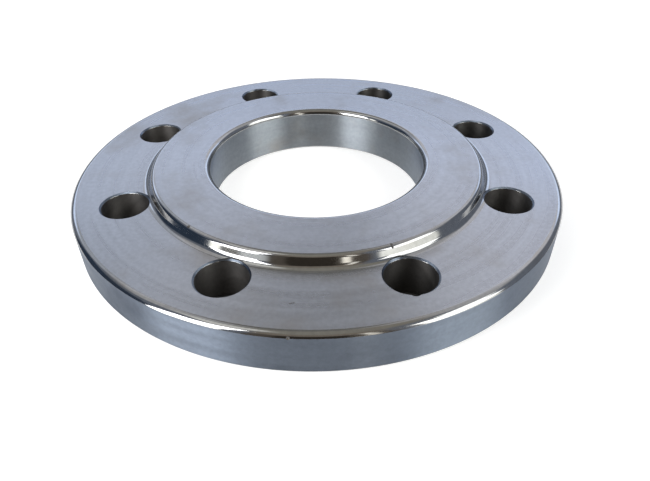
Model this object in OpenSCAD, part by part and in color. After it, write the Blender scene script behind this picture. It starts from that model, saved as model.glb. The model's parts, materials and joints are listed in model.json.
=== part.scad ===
// Slip-on pipe flange, turned from one piece of steel plate.
// It lies on its flat back face, with the raised sealing face up and the bore along Z.
// Sizes in millimetres.

/* [Plate] */
// Outside diameter of the flange
flange_d = 200; // [185:1:260]
// Thickness of the plate, without the raised face
plate_t = 16; // [10:0.5:30]
// Width of the bevel along the rim's front edge, measured across the plate
rim_bevel_w = 1; // [0.6:0.1:4]
// Depth of that bevel, measured down the rim
rim_bevel_h = 1.3; // [0.8:0.1:4]
// Radius that softens the bevel's upper corner into the plate, as far as the bevel is long
rim_soften_r = 3; // [0.5:0.1:5]
// Chamfer along the rim's back edge
rim_back_chamfer = 0.5; // [0.2:0.1:3]

/* [Raised face] */
// Diameter of the sealing face, out to the corner that its rounding takes off
face_d = 136.5; // [110:0.5:137.5]
// Height of the sealing face above the plate
face_h = 4; // [2:0.1:6]
// Slope of the flank around the sealing face, in degrees from level
flank_slope = 60; // [50:1:85]
// Radius of the rounding between the sealing face and its flank, as far as the flank is long
face_round_r = 2; // [0.4:0.1:3]
// Radius of the fillet where the flank runs out into the plate, as far as the flank is long
foot_fillet_r = 3; // [0.5:0.1:3.5]

/* [Bore] */
// Diameter of the bore, which slips over the end of the pipe
bore_d = 90; // [60:0.5:115]
// Radius of the rounding at the mouth of the bore, in the sealing face
mouth_round_r = 2.2; // [0.4:0.1:3.5]
// Chamfer at the back of the bore
bore_back_chamfer = 0.7; // [0.2:0.1:3]

/* [Bolt holes] */
// Diameter of the circle that the bolt holes lie on
bolt_circle_d = 160; // [158:0.5:172]
// Number of bolt holes, set evenly to both sides of the centre lines
bolt_count = 8; // [4:4:12]
// Diameter of a bolt hole
bolt_hole_d = 18; // [10:0.5:22]
// Chamfer at the front of a bolt hole, in the plate's face
hole_chamfer = 0.6; // [0.2:0.1:1.2]
// Chamfer at the back of a bolt hole
hole_back_chamfer = 0.3; // [0.1:0.1:1.2]

/* [Hidden] */
$fn = 128;
rim_r = flange_d / 2;
face_r = face_d / 2;
bore_r = bore_d / 2;
hole_r = bolt_hole_d / 2;
total_t = plate_t + face_h;
flank_foot_r = face_r + face_h / tan(flank_slope);
flank_l = face_h / sin(flank_slope);
edge_r = min(face_round_r, 0.45 * flank_l / tan(flank_slope / 2));
foot_r = min(foot_fillet_r, 0.5 * flank_l / tan(flank_slope / 2));
rim_bevel_l = norm([rim_bevel_w, rim_bevel_h]);
rim_bevel_slope = atan(rim_bevel_h / rim_bevel_w);
longest_reach = 0.9 * rim_bevel_l;
soften_r = min(rim_soften_r, longest_reach / tan(rim_bevel_slope / 2));
past = 1;
lap = 0.3;
cross = 0.002;

// Corners of half the cross-section, as radius and height, around from the back of the bore
PLATE_EDGE = 5;
FACE_FOOT = 6;
FACE_EDGE = 7;
BORE_MOUTH = 8;
section = [
    [bore_r, bore_back_chamfer],
    [bore_r + bore_back_chamfer, 0],
    [rim_r - rim_back_chamfer, 0],
    [rim_r, rim_back_chamfer],
    [rim_r, plate_t - rim_bevel_h],
    [rim_r - rim_bevel_w, plate_t],
    [flank_foot_r, plate_t],
    [face_r, total_t],
    [bore_r, total_t]
];

// The sliver between a corner of the cross-section and the arc that blends its two sides.
// It laps a little over the corner, and its arc just crosses both sides, so the joins are clean.
module corner_sliver(corner, radius) {
    tip = section[corner];
    before = section[corner - 1] - tip;
    after = section[(corner + 1) % len(section)] - tip;
    one_way = before / norm(before);
    other_way = after / norm(after);
    half_angle = acos(one_way * other_way) / 2;
    reach = radius / tan(half_angle);
    inward = (one_way + other_way) / norm(one_way + other_way);
    difference() {
        polygon([tip - inward * lap, tip + one_way * reach, tip + other_way * reach]);
        translate(tip + inward * (radius / sin(half_angle) - cross))
            circle(r = radius);
    }
}

// Half the cross-section, with the flank's fillet filled in and the front edges rounded
module half_section() {
    difference() {
        union() {
            polygon(section);
            corner_sliver(FACE_FOOT, foot_r);
        }
        corner_sliver(PLATE_EDGE, soften_r);
        corner_sliver(FACE_EDGE, edge_r);
        corner_sliver(BORE_MOUTH, mouth_round_r);
    }
}

// What the drill and the countersink take out at one bolt hole, running on past both faces
module bolt_hole() {
    front_r = hole_r + hole_chamfer;
    back_r = hole_r + hole_back_chamfer;
    rotate_extrude()
        polygon([
            [0, -past],
            [back_r + past, -past],
            [hole_r, hole_back_chamfer],
            [hole_r, plate_t - hole_chamfer],
            [front_r, plate_t],
            [front_r, total_t + past],
            [0, total_t + past]
        ]);
}

// The whole flange: the turned blank, drilled all around its bolt circle
module flange() {
    color([0.66, 0.69, 0.74])
        difference() {
            rotate_extrude()
                half_section();
            for (i = [0 : bolt_count - 1])
                rotate(360 / bolt_count * (i + 0.5))
                    translate([bolt_circle_d / 2, 0, 0])
                        bolt_hole();
        }
}

flange();
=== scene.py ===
import json
import math

import bpy
from mathutils import Matrix, Vector


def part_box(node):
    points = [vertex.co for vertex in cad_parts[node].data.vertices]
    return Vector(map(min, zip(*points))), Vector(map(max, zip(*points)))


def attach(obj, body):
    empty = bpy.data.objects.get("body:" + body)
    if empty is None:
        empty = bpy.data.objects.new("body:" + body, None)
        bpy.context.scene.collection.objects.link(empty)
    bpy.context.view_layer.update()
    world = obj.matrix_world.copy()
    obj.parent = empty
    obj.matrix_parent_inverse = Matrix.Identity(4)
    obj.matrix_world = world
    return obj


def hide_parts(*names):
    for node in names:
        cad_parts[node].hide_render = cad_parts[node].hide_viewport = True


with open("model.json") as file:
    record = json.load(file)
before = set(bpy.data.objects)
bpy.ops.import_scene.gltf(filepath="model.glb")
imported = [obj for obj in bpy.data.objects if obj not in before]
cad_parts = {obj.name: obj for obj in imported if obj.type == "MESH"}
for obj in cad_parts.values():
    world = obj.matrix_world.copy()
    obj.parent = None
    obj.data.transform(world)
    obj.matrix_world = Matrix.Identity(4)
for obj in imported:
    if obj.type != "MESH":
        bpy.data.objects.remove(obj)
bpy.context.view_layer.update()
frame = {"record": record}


# The flange is one ring of bare steel, cut from plate, faced and bored on a lathe and drilled
# through with eight bolt holes. It lies on its flat back, with the raised sealing face up.
# Its half section is drawn here, turned once around and drilled, at the sizes of the CAD part.
MM = 0.001
mounts = {mount["name"]: mount["dims"] for mount in frame["record"]["mounts"]}
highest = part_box("flange")[1]
total_t = highest.z
rim_r = highest.x
bore_r = mounts["pipe_bore"]["r_mm"] * MM
bolt_circle_r = mounts["bolt_holes"]["pcd_mm"] / 2 * MM
bolt_count = mounts["bolt_holes"]["count"]
bolt_hole_r = mounts["bolt_holes"]["hole_r_mm"] * MM

face_h = 4.0 * MM
face_r = 68.25 * MM
face_round_r = 2.0 * MM
flank_slope = math.radians(60)
foot_fillet_r = 3.0 * MM
plate_t = total_t - face_h
rim_bevel_w = 1.0 * MM
rim_bevel_h = 1.3 * MM
rim_soften_r = 2.99 * MM
rim_back_chamfer = 0.5 * MM
mouth_round_r = 2.2 * MM
bore_back_chamfer = 0.7 * MM
hole_chamfer = 0.6 * MM
hole_back_chamfer = 0.3 * MM

# What is left of a sharp corner after the deburring stone, and the flat kept beside each rounding
edge_break_r = 0.16 * MM
beside_edge = 0.12 * MM
arc_step = math.radians(6)

FINISHES = ["faced", "rim", "bored", "edge", "drilled"]
FACED, RIM, BORED, EDGE, DRILLED = range(len(FINISHES))
flank_foot_r = face_r + face_h / math.tan(flank_slope)

# Corners of half the section as radius, height, rounding and the finish of the run that follows
flange_corners = [
    (bore_r, bore_back_chamfer, edge_break_r, EDGE),
    (bore_r + bore_back_chamfer, 0, edge_break_r, FACED),
    (rim_r - rim_back_chamfer, 0, edge_break_r, EDGE),
    (rim_r, rim_back_chamfer, edge_break_r, RIM),
    (rim_r, plate_t - rim_bevel_h, 0, EDGE),
    (rim_r - rim_bevel_w, plate_t, rim_soften_r, FACED),
    (flank_foot_r, plate_t, foot_fillet_r, EDGE),
    (face_r, total_t, face_round_r, FACED),
    (bore_r, total_t, mouth_round_r, BORED),
]

# The drill and its countersink, which run on past both faces. The chamfer has the rim's finish, with its
# painted shade and painted blue reflection
past = 1.0 * MM
hole_front_r = bolt_hole_r + hole_chamfer
hole_back_r = bolt_hole_r + hole_back_chamfer
drill_corners = [
    (0, -past, 0, DRILLED),
    (hole_back_r + past, -past, 0, DRILLED),
    (bolt_hole_r, hole_back_chamfer, edge_break_r, DRILLED),
    (bolt_hole_r, plate_t - hole_chamfer, edge_break_r, RIM),
    (hole_front_r, plate_t, 0, DRILLED),
    (hole_front_r, total_t + past, 0, DRILLED),
    (0, total_t + past, 0, DRILLED),
]

# Small dents of handling, each pressed in by a ball: bearing in degrees, radius, height and ball size
nicks = [
    (-41.5, 68.0 * MM, 20.0 * MM, 0.65 * MM),
    (21.8, 67.6 * MM, 20.05 * MM, 0.45 * MM),
    (21.8, 68.2 * MM, 19.85 * MM, 0.45 * MM),
    (21.8, 68.7 * MM, 19.45 * MM, 0.45 * MM),
    (-4.7, 100.1 * MM, 14.8 * MM, 0.65 * MM),
    (20.6, 87.7 * MM, 16.0 * MM, 2.0 * MM),
    (-5.3, 86.9 * MM, 16.35 * MM, 0.45 * MM),
    (-4.95, 86.7 * MM, 16.33 * MM, 0.45 * MM),
    (-4.6, 86.5 * MM, 16.35 * MM, 0.45 * MM),
]


def outline(corners):
    """Points and finishes around a closed section, each rounded corner an arc between two short flats."""
    points = []
    finishes = []
    for k, (radius, height, rounding, finish) in enumerate(corners):
        tip = Vector((radius, height))
        if not rounding:
            points.append(tip)
            finishes.append(finish)
            continue
        back = (Vector(corners[k - 1][:2]) - tip).normalized()
        ahead = (Vector(corners[(k + 1) % len(corners)][:2]) - tip).normalized()
        half_angle = back.angle(ahead) / 2
        reach = rounding / math.tan(half_angle)
        centre = tip + (back + ahead).normalized() * (rounding / math.sin(half_angle))
        spoke = tip + back * reach - centre
        turn = math.copysign(math.pi - 2 * half_angle, -back.cross(ahead))
        steps = max(3, math.ceil(abs(turn) / arc_step))
        points.append(tip + back * (reach + beside_edge))
        finishes.append(corners[k - 1][3])
        for step in range(steps + 1):
            points.append(centre + Matrix.Rotation(turn * step / steps, 2) @ spoke)
            finishes.append(EDGE if step < steps else finish)
        points.append(tip + ahead * (reach + beside_edge))
        finishes.append(finish)
    return points, finishes


def sections_mesh():
    """Both half sections as closed lines in one mesh, and the balls of the nicks as loose points."""
    mesh = bpy.data.meshes.new("half_sections")
    places, edges, labels, drills = [], [], [], []
    for is_drill, corners in enumerate((flange_corners, drill_corners)):
        points, finishes = outline(corners)
        first = len(places)
        places += [(point.x, 0, point.y) for point in points]
        edges += [(first + k, first + (k + 1) % len(points)) for k in range(len(points))]
        labels += finishes
        drills += [bool(is_drill)] * len(points)
    balls = [0.0] * len(places)
    for bearing, radius, height, ball in nicks:
        turn = math.radians(bearing)
        places.append((radius * math.sin(turn), -radius * math.cos(turn), height))
        labels.append(EDGE)
        drills.append(False)
        balls.append(ball)
    mesh.from_pydata(places, edges, [])
    mesh.attributes.new("finish", "INT", "POINT").data.foreach_set("value", labels)
    mesh.attributes.new("drill", "BOOLEAN", "POINT").data.foreach_set("value", drills)
    mesh.attributes.new("ball", "FLOAT", "POINT").data.foreach_set("value", balls)
    return mesh


def wire(tree, kind, inputs, **settings):
    """Adds a node with its settings; each input is a value or the output socket that feeds it."""
    made = tree.nodes.new(kind)
    for name, value in settings.items():
        setattr(made, name, value)
    for socket, value in inputs.items():
        if isinstance(value, bpy.types.NodeSocket):
            tree.links.new(value, made.inputs[socket])
        else:
            made.inputs[socket].default_value = value
    return made


def math_node(tree, operation, *values, **settings):
    """The result of one sum on values or sockets."""
    inputs = dict(enumerate(values))
    return wire(tree, "ShaderNodeMath", inputs, operation=operation, **settings).outputs[0]


def new_tree(name, kind, inputs, outputs):
    """An empty node group with named sockets, its given values and its results."""
    tree = bpy.data.node_groups.new(name, kind)
    for label, socket_type in inputs:
        tree.interface.new_socket(label, in_out="INPUT", socket_type="NodeSocket" + socket_type)
    for label, socket_type in outputs:
        tree.interface.new_socket(label, in_out="OUTPUT", socket_type="NodeSocket" + socket_type)
    return tree, tree.nodes.new("NodeGroupInput").outputs, tree.nodes.new("NodeGroupOutput").inputs


def turning_tree():
    """Turns a closed half section, with radius on X and height on Z, once around Z."""
    tree, given, result = new_tree(
        "turn_section", "GeometryNodeTree",
        [("Section", "Geometry"), ("Segments", "Int")], [("Blank", "Geometry")])
    count = wire(tree, "GeometryNodeAttributeDomainSize", {0: given["Section"]}).outputs["Point Count"]
    rows = math_node(tree, "ADD", count, 1)
    columns = math_node(tree, "ADD", given["Segments"], 1)
    grid = wire(tree, "GeometryNodeMeshGrid", {"Vertices X": columns, "Vertices Y": rows})
    index = wire(tree, "GeometryNodeInputIndex", {}).outputs[0]
    column = math_node(tree, "FLOOR", math_node(tree, "DIVIDE", math_node(tree, "ADD", index, 0.5), rows))
    row = math_node(tree, "MODULO", math_node(tree, "MODULO", index, rows), count)
    place = wire(tree, "GeometryNodeInputPosition", {}).outputs[0]
    corner = wire(
        tree, "GeometryNodeSampleIndex", {"Geometry": given["Section"], "Value": place, "Index": row},
        data_type="FLOAT_VECTOR", domain="POINT")
    angle = math_node(tree, "DIVIDE", math_node(tree, "MULTIPLY", column, math.tau), given["Segments"])
    turned = wire(
        tree, "ShaderNodeVectorRotate", {"Vector": corner.outputs[0], "Angle": angle},
        rotation_type="Z_AXIS")
    swept = wire(
        tree, "GeometryNodeSetPosition", {"Geometry": grid.outputs["Mesh"], "Position": turned.outputs[0]})
    label = wire(tree, "GeometryNodeInputNamedAttribute", {"Name": "finish"}, data_type="INT")
    finish = wire(
        tree, "GeometryNodeSampleIndex",
        {"Geometry": given["Section"], "Value": label.outputs["Attribute"],
         "Index": math_node(tree, "MODULO", index, count)},
        data_type="INT", domain="POINT")
    labelled = wire(
        tree, "GeometryNodeStoreNamedAttribute",
        {"Geometry": swept.outputs[0], "Name": "finish", "Value": finish.outputs[0]},
        data_type="INT", domain="FACE")
    closed = wire(
        tree, "GeometryNodeMergeByDistance", {"Geometry": labelled.outputs[0], "Distance": 0.001 * MM})
    tree.links.new(closed.outputs[0], result["Blank"])
    return tree


def flange_tree():
    """Turns the blank, drills it all around its bolt circle, and gives each surface its finish."""
    tree, given, result = new_tree(
        "turn_and_drill", "GeometryNodeTree",
        [("Sections", "Geometry"), ("Blank Segments", "Int"), ("Drill Segments", "Int"),
         ("Bolt Count", "Int"), ("Bolt Circle Radius", "Float"), ("Sharp Angle", "Float")]
        + [(name, "Material") for name in FINISHES],
        [("Flange", "Geometry")])
    turn = turning_tree()
    ball = wire(
        tree, "GeometryNodeInputNamedAttribute", {"Name": "ball"}, data_type="FLOAT").outputs["Attribute"]
    nicked = wire(
        tree, "GeometryNodeSeparateGeometry",
        {"Geometry": given["Sections"], "Selection": math_node(tree, "GREATER_THAN", ball, 0)},
        domain="POINT")
    is_drill = wire(tree, "GeometryNodeInputNamedAttribute", {"Name": "drill"}, data_type="BOOLEAN")
    parted = wire(
        tree, "GeometryNodeSeparateGeometry",
        {"Geometry": nicked.outputs["Inverted"], "Selection": is_drill.outputs["Attribute"]},
        domain="POINT")
    blank = wire(tree, "GeometryNodeGroup", {}, node_tree=turn)
    drill = wire(tree, "GeometryNodeGroup", {}, node_tree=turn)
    for turned, half, segments in (
            (blank, "Inverted", "Blank Segments"), (drill, "Selection", "Drill Segments")):
        tree.links.new(parted.outputs[half], turned.inputs["Section"])
        tree.links.new(given[segments], turned.inputs["Segments"])
    bolt_circle = wire(
        tree, "GeometryNodeMeshCircle",
        {"Vertices": given["Bolt Count"], "Radius": given["Bolt Circle Radius"]})
    half_pitch = math_node(tree, "DIVIDE", math.pi, given["Bolt Count"])
    spun = wire(
        tree, "GeometryNodeTransform",
        {"Geometry": bolt_circle.outputs[0],
         "Rotation": wire(tree, "ShaderNodeCombineXYZ", {"Z": half_pitch}).outputs[0]})
    drills = wire(
        tree, "GeometryNodeInstanceOnPoints",
        {"Points": spun.outputs[0], "Instance": drill.outputs[0]})
    round_ball = wire(tree, "GeometryNodeMeshIcoSphere", {"Radius": 1.0, "Subdivisions": 3})
    ball_finish = wire(
        tree, "GeometryNodeStoreNamedAttribute",
        {"Geometry": round_ball.outputs["Mesh"], "Name": "finish", "Value": DRILLED},
        data_type="INT", domain="FACE")
    # The points lose their own finish, so that the balls keep theirs
    bare_points = wire(
        tree, "GeometryNodeRemoveAttribute", {"Geometry": nicked.outputs["Selection"], "Name": "finish"})
    dents = wire(
        tree, "GeometryNodeInstanceOnPoints",
        {"Points": bare_points.outputs[0], "Instance": ball_finish.outputs[0], "Scale": ball})
    cut = wire(
        tree, "GeometryNodeMeshBoolean", {"Mesh 1": blank.outputs[0]},
        operation="DIFFERENCE", solver="EXACT")
    for tools in (drills, dents):
        solid_tools = wire(tree, "GeometryNodeRealizeInstances", {"Geometry": tools.outputs[0]})
        tree.links.new(solid_tools.outputs[0], cut.inputs["Mesh 2"])
    smooth = wire(
        tree, "GeometryNodeSetShadeSmooth", {"Geometry": cut.outputs[0], "Shade Smooth": True},
        domain="FACE")
    edge_angle = wire(tree, "GeometryNodeInputMeshEdgeAngle", {}).outputs["Unsigned Angle"]
    is_sharp = math_node(tree, "GREATER_THAN", edge_angle, given["Sharp Angle"])
    creased = wire(
        tree, "GeometryNodeSetShadeSmooth",
        {"Geometry": smooth.outputs[0], "Selection": is_sharp, "Shade Smooth": False}, domain="EDGE")
    last = wire(tree, "GeometryNodeRealizeInstances", {"Geometry": creased.outputs[0]}).outputs[0]
    label = wire(tree, "GeometryNodeInputNamedAttribute", {"Name": "finish"}, data_type="INT")
    for finish, name in enumerate(FINISHES):
        is_finish = math_node(tree, "COMPARE", label.outputs["Attribute"], finish, 0.1)
        last = wire(
            tree, "GeometryNodeSetMaterial",
            {"Geometry": last, "Selection": is_finish, "Material": given[name]}).outputs[0]
    tree.links.new(last, result["Flange"])
    return tree


def turning_marks_group():
    """Tool marks that run around the axis: the height of fine grooves, and broad duller rings."""
    tree, given, result = new_tree(
        "turning_marks", "ShaderNodeTree",
        [("Pitch", "Float"), ("Ring Width", "Float")], [("Groove", "Float"), ("Ring", "Float")])
    place = wire(tree, "ShaderNodeTexCoord", {}).outputs["Object"]
    part = wire(tree, "ShaderNodeSeparateXYZ", {0: place}).outputs
    level = wire(tree, "ShaderNodeCombineXYZ", {"X": part["X"], "Y": part["Y"]}).outputs[0]
    radius = wire(tree, "ShaderNodeVectorMath", {0: level}, operation="LENGTH").outputs["Value"]
    along = math_node(tree, "ADD", radius, part["Z"])
    waver_per_m = 14.0
    slow = wire(
        tree, "ShaderNodeVectorMath", {0: place, "Scale": waver_per_m}, operation="SCALE").outputs[0]
    for width, name in (("Pitch", "Groove"), ("Ring Width", "Ring")):
        across = math_node(tree, "DIVIDE", along, given[width])
        noise = wire(
            tree, "ShaderNodeTexNoise",
            {"Vector": slow, "W": across, "Scale": 1.0, "Detail": 2.0}, noise_dimensions="4D")
        tree.links.new(noise.outputs[0], result[name])
    return tree


def handling_group():
    """Marks of handling: soft smudges of old oil, and the fine mottle that they leave on bare metal."""
    tree, given, result = new_tree(
        "handling_marks", "ShaderNodeTree",
        [("Smudge Size", "Float"), ("Mottle Size", "Float"), ("Seed", "Float")],
        [("Smudge", "Float"), ("Mottle", "Float")])
    place = wire(tree, "ShaderNodeTexCoord", {}).outputs["Object"]
    blots = []
    for size in ("Smudge Size", "Mottle Size"):
        sized = wire(
            tree, "ShaderNodeVectorMath",
            {0: place, "Scale": math_node(tree, "DIVIDE", 1.0, given[size])}, operation="SCALE").outputs[0]
        blots.append(wire(
            tree, "ShaderNodeTexNoise",
            {"Vector": sized, "W": given["Seed"], "Scale": 1.0, "Detail": 4.0, "Roughness": 0.6},
            noise_dimensions="4D").outputs[0])
    for blot, name, low, high in ((blots[0], "Smudge", 0.48, 0.72), (blots[1], "Mottle", 0.25, 0.75)):
        shown = wire(
            tree, "ShaderNodeMapRange", {"Value": blot, "From Min": low, "From Max": high},
            interpolation_type="SMOOTHSTEP")
        tree.links.new(shown.outputs[0], result[name])
    return tree


turning_marks = turning_marks_group()
handling_marks = handling_group()


def steel(name, colour, roughness, directional, pitch, groove_depth, smudge_tint, seed, drilled=False):
    """Bare steel, cut around the axis or around its own hole; light spreads across its tool marks."""
    ring_pitches = 9
    smudge_strength = 0.5
    smudge_dulling = 0.05
    made = bpy.data.materials.new(name)
    made.use_nodes = True
    tree = made.node_tree
    shader = tree.nodes["Principled BSDF"]
    shader.inputs["Metallic"].default_value = 1.0
    shader.inputs["Anisotropic"].default_value = directional
    shader.inputs["Anisotropic Rotation"].default_value = 0.25
    marks = wire(tree, "ShaderNodeGroup", {}, node_tree=turning_marks)
    marks.inputs["Pitch"].default_value = pitch
    marks.inputs["Ring Width"].default_value = pitch * ring_pitches
    dirt = wire(tree, "ShaderNodeGroup", {}, node_tree=handling_marks)
    dirt.inputs["Smudge Size"].default_value = 28 * MM
    dirt.inputs["Mottle Size"].default_value = 1.6 * MM
    dirt.inputs["Seed"].default_value = seed

    ring_tone = wire(
        tree, "ShaderNodeMapRange",
        {"Value": marks.outputs["Ring"], "From Min": 0.35, "From Max": 0.65,
         "To Min": 0.93, "To Max": 1.07})
    mottle_tone = wire(
        tree, "ShaderNodeMapRange",
        {"Value": dirt.outputs["Mottle"], "To Min": 0.92, "To Max": 1.08})
    tone = math_node(tree, "MULTIPLY", ring_tone.outputs[0], mottle_tone.outputs[0])
    toned = wire(tree, "ShaderNodeVectorMath", {0: colour, "Scale": tone}, operation="SCALE").outputs[0]
    smudge = math_node(tree, "MULTIPLY", dirt.outputs["Smudge"], smudge_strength)
    smudged = wire(
        tree, "ShaderNodeMix", {0: smudge, 6: toned, 7: (*smudge_tint, 1)}, data_type="RGBA")
    tree.links.new(smudged.outputs[2], shader.inputs["Base Color"])

    duller = wire(
        tree, "ShaderNodeMapRange",
        {"Value": marks.outputs["Ring"], "From Min": 0.3, "From Max": 0.7,
         "To Min": roughness * 0.88, "To Max": roughness * 1.12})
    dulled = math_node(tree, "MULTIPLY", dirt.outputs["Smudge"], smudge_dulling)
    rubbed = math_node(tree, "ADD", duller.outputs[0], dulled)
    tree.links.new(rubbed, shader.inputs["Roughness"])

    bump = wire(
        tree, "ShaderNodeBump",
        {"Strength": 1.0, "Distance": groove_depth, "Height": marks.outputs["Groove"]})
    tree.links.new(bump.outputs[0], shader.inputs["Normal"])

    if drilled:
        outward = wire(tree, "ShaderNodeNewGeometry", {}).outputs["Normal"]
        around = wire(tree, "ShaderNodeVectorMath", {0: (0, 0, 1), 1: outward}, operation="CROSS_PRODUCT")
    else:
        place = wire(tree, "ShaderNodeTexCoord", {}).outputs["Object"]
        part = wire(tree, "ShaderNodeSeparateXYZ", {0: place}).outputs
        turned_y = math_node(tree, "MULTIPLY", part["Y"], -1)
        around = wire(tree, "ShaderNodeCombineXYZ", {"X": turned_y, "Y": part["X"]})
    tree.links.new(around.outputs[0], shader.inputs["Tangent"])
    return made


faced_tone = (0.38, 0.39, 0.415)
# The rim's tone is partly its own duller turned steel and partly painted: darker as a painted shade and
# tinted blue as a painted reflection of cool light. Its oil tint is darkened and blued the same way.
rim_painted_blue_shade_tone = (0.187, 0.218, 0.268)
bored_tone = (0.30, 0.328, 0.358)
edge_tone = (0.36, 0.36, 0.36)
drilled_tone = (0.165, 0.158, 0.153)
oil_tone = (0.30, 0.275, 0.245)
rim_oil_and_painted_blue_shade_tone = (0.13, 0.15, 0.19)
grime_tone = (0.085, 0.075, 0.065)
finish_materials = [
    steel("faced_steel", faced_tone, 0.28, 0.65, 0.35 * MM, 0.0015 * MM, oil_tone, 7.0),
    steel("rim_steel", rim_painted_blue_shade_tone, 0.42, 1.0, 0.30 * MM, 0.0004 * MM, rim_oil_and_painted_blue_shade_tone, 2.0),
    steel("bored_steel", bored_tone, 0.44, 1.0, 0.30 * MM, 0.0004 * MM, oil_tone, 3.0),
    steel("edge_steel", edge_tone, 0.09, 0.3, 0.25 * MM, 0.0006 * MM, oil_tone, 4.0),
    steel("drilled_steel", drilled_tone, 0.52, 0.6, 0.5 * MM, 0.003 * MM, grime_tone, 5.0, drilled=True),
]

blank_segments = 576
drill_segments = 96
sharp_angle = math.radians(20)
flange = bpy.data.objects.new("turned_flange", sections_mesh())
bpy.context.scene.collection.objects.link(flange)
making = flange.modifiers.new("turn_and_drill", "NODES")
making.node_group = flange_tree()
sizes = {
    "Blank Segments": blank_segments,
    "Drill Segments": drill_segments,
    "Bolt Count": bolt_count,
    "Bolt Circle Radius": bolt_circle_r,
    "Sharp Angle": sharp_angle,
    **dict(zip(FINISHES, finish_materials)),
}
for item in making.node_group.interface.items_tree:
    if item.name in sizes:
        making[item.identifier] = sizes[item.name]
seen = flange.evaluated_get(bpy.context.evaluated_depsgraph_get())
finished = bpy.data.meshes.new_from_object(seen)
flange.modifiers.remove(making)
flange.data = finished
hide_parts("flange")
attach(flange, "root")


# The stage is a plain pale floor, which keeps the flange's soft shadow. Seen by the eye or in metal it
# is lifted to a clean white. Under the ring it has a painted shade: it is painted dark and not lifted, so
# that it shows dark through the bolt holes.
floor_reach = 6.0
floor_drop = 0.2 * MM
floor_tone = (0.7, 0.7, 0.7, 1)
painted_shade_tone = (0.12, 0.12, 0.12, 1)
shade_inset = 3 * MM
white_lift = 0.55
floor_mesh = bpy.data.meshes.new("floor")
floor_mesh.from_pydata(
    [(x * floor_reach, y * floor_reach, -floor_drop) for x, y in ((-1, -1), (1, -1), (1, 1), (-1, 1))],
    [], [(0, 1, 2, 3)])
floor = bpy.data.objects.new("floor", floor_mesh)
bpy.context.scene.collection.objects.link(floor)
floor_paint = bpy.data.materials.new("floor_paint")
floor_paint.use_nodes = True
paint_shader = floor_paint.node_tree.nodes["Principled BSDF"]
paint_shader.inputs["Roughness"].default_value = 0.9
paint_shader.inputs["Specular IOR Level"].default_value = 0.0
paint = floor_paint.node_tree
seen_by = wire(paint, "ShaderNodeLightPath", {}).outputs
by_eye = math_node(
    paint, "MAXIMUM", seen_by["Is Camera Ray"],
    math_node(paint, "MAXIMUM", seen_by["Is Glossy Ray"], seen_by["Is Transmission Ray"]))
spot = wire(paint, "ShaderNodeTexCoord", {}).outputs["Object"]
spot_r = wire(paint, "ShaderNodeVectorMath", {0: spot}, operation="LENGTH").outputs["Value"]
ring_middle_r = (bore_r + rim_r) / 2
ring_half_w = (rim_r - bore_r) / 2
# Painted shade: the floor under the ring gets a dark tone and no white lift
under_ring = math_node(paint, "COMPARE", spot_r, ring_middle_r, ring_half_w - shade_inset)
seen_white = math_node(paint, "SUBTRACT", by_eye, under_ring, use_clamp=True)
lifted = math_node(paint, "MULTIPLY", seen_white, white_lift)
shaded = wire(
    paint, "ShaderNodeMix", {0: under_ring, 6: floor_tone, 7: painted_shade_tone}, data_type="RGBA")
paint.links.new(shaded.outputs[2], paint_shader.inputs["Base Color"])
paint_shader.inputs["Emission Color"].default_value = (1, 1, 1, 1)
paint.links.new(lifted, paint_shader.inputs["Emission Strength"])
floor_mesh.materials.append(floor_paint)


# The light is a soft studio all around: a cool pale wall behind the flange, bright windows at the right,
# a soft box at the front left, and a dim warm room behind the camera.
studio = bpy.data.worlds.new("studio")
bpy.context.scene.world = studio
studio.use_nodes = True
sky = studio.node_tree
sky.nodes.clear()
ray = wire(sky, "ShaderNodeTexCoord", {}).outputs["Generated"]
ray_part = wire(sky, "ShaderNodeSeparateXYZ", {0: ray}).outputs
# Bearings in degrees: 0 towards the camera's side, to the right positive, 180 behind the flange
towards_camera = math_node(sky, "MULTIPLY", ray_part["Y"], -1)
bearing = math_node(sky, "DEGREES", math_node(sky, "ARCTAN2", ray_part["X"], towards_camera))
height = math_node(sky, "DEGREES", math_node(sky, "ARCSINE", ray_part["Z"]))
off_axis = math_node(sky, "ABSOLUTE", bearing)


def between(value, low, high, soft):
    """A mask that is 1 from low to high and fades out over the given soft width on both sides."""
    rise = wire(
        sky, "ShaderNodeMapRange",
        {"Value": value, "From Min": low - soft / 2, "From Max": low + soft / 2},
        interpolation_type="SMOOTHSTEP").outputs[0]
    fall = wire(
        sky, "ShaderNodeMapRange",
        {"Value": value, "From Min": high + soft / 2, "From Max": high - soft / 2},
        interpolation_type="SMOOTHSTEP").outputs[0]
    return math_node(sky, "MULTIPLY", rise, fall)


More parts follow.
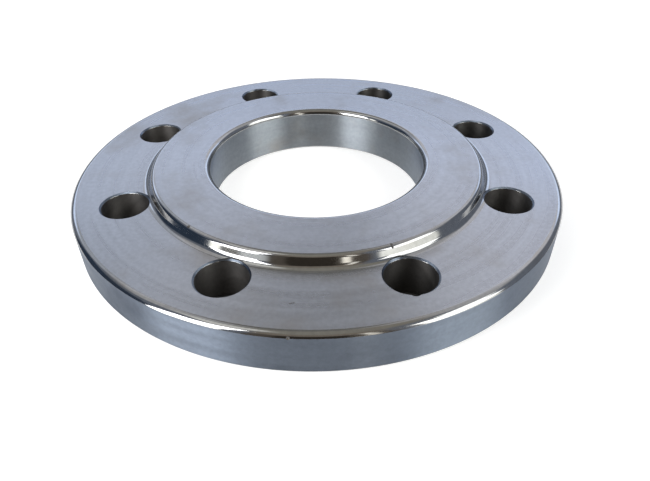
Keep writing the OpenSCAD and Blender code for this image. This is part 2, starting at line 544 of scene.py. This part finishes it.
# Each light zone: its light, then its bearings, its heights and how soft its edges are, in degrees.
# A zone lies over those before it, and what no zone covers has the light of the room.
room_light = (0.25, 0.28, 0.34, 1)
zones = [
    # The ceiling, and the upper wall behind, which is dimmer at the left and has a dark beam across it
    ((0.42, 0.40, 0.35), off_axis, (-10, 190), (64, 100), 12),
    ((0.74, 0.74, 0.76), off_axis, (98, 200), (42, 66), 10),
    ((1.06, 1.07, 1.15), off_axis, (126, 200), (28, 48), 10),
    ((0.66, 0.71, 0.80), bearing, (-160, -124), (22, 44), 8),
    ((0.30, 0.295, 0.28), bearing, (165, 200), (38, 72), 13),
    ((0.30, 0.295, 0.28), bearing, (-200, -156), (39, 72), 12),
    # The foot of the wall behind, bright and cool, with a duller patch at either side
    ((1.44, 1.68, 2.18), off_axis, (130, 200), (17, 28), 6),
    ((0.94, 0.94, 1.0), bearing, (159, 172), (26, 34), 6),
    ((0.94, 1.02, 1.18), bearing, (-168, -146), (23, 30), 6),
    # A high window at the left
    ((1.20, 1.20, 1.15), bearing, (-125, -58), (59, 78), 6),
    # The dim room behind the camera, darkest in its middle, and its ceiling
    ((0.16, 0.138, 0.115), bearing, (-33, 33), (-5, 50), 6),
    ((0.06, 0.05, 0.04), bearing, (-20, 13), (-5, 46), 5),
    ((0.36, 0.31, 0.25), off_axis, (-10, 40), (50, 66), 8),
    # The left side: a dark corner, a dim and a pale panel, and a narrow window
    ((0.05, 0.075, 0.12), bearing, (-118, -71), (-5, 30), 5),
    ((0.25, 0.25, 0.23), bearing, (-60, -48), (-5, 23), 6),
    ((1.10, 1.15, 1.17), bearing, (-48, -31), (-5, 23), 6),
    ((3.0, 3.0, 2.8), bearing, (-68, -61), (3, 24), 3),
    # The windows at the right: two low panes, a bright wide one above them and a smaller one on top
    ((2.1, 2.12, 2.0), bearing, (38, 62), (2, 23), 4),
    ((1.9, 1.92, 1.8), bearing, (60, 78), (4, 24), 4),
    ((4.7, 4.75, 4.6), bearing, (45, 82), (23, 46), 4),
    ((3.3, 3.35, 3.25), bearing, (66, 92), (40, 54), 5),
    # Two narrow gaps of light in the dim room
    ((2.4, 2.3, 2.05), bearing, (15, 20), (0, 26), 2),
    ((1.8, 1.75, 1.6), bearing, (21, 26), (27, 52), 2),
]
light = room_light
for tone, across, bearings, heights, soft in zones:
    mask = math_node(sky, "MULTIPLY", between(across, *bearings, soft), between(height, *heights, soft))
    mixed = wire(sky, "ShaderNodeMix", {0: mask, 6: light, 7: (*tone, 1)}, data_type="RGBA")
    light = mixed.outputs[2]
background = wire(sky, "ShaderNodeBackground", {"Color": light, "Strength": 1.0})
wire(sky, "ShaderNodeOutputWorld", {"Surface": background.outputs[0]})

# A soft box stands upright at the front left, close to the flange
box_place = Vector((-0.235, -0.196, 0.205))
box_facing = Vector((0.19, 0.98, 0.0))
box_width = 0.20
box_height = 0.23
box_power = 1.1
box_data = bpy.data.lights.new("soft_box", "AREA")
box_data.shape = "RECTANGLE"
box_data.size = box_width
box_data.size_y = box_height
box_data.energy = box_power
soft_box = bpy.data.objects.new("soft_box", box_data)
bpy.context.scene.collection.objects.link(soft_box)
soft_box.location = box_place
soft_box.rotation_euler = box_facing.to_track_quat("-Z", "Y").to_euler()


# The camera stands where the photograph was taken from, close in front and looking down. Its place,
# its turn and its lens come from a fit to the edges in the photo.
camera_data = bpy.data.cameras.new("camera")
camera_data.sensor_width = 36.0
camera_data.lens = 30.578
camera = bpy.data.objects.new("camera", camera_data)
bpy.context.scene.collection.objects.link(camera)
camera.location = (0.00252, -0.20888, 0.13303)
camera.rotation_euler = [math.radians(angle) for angle in (52.745, 0.531, -0.5528)]
bpy.context.scene.camera = camera
bpy.context.scene.view_settings.view_transform = "Standard"
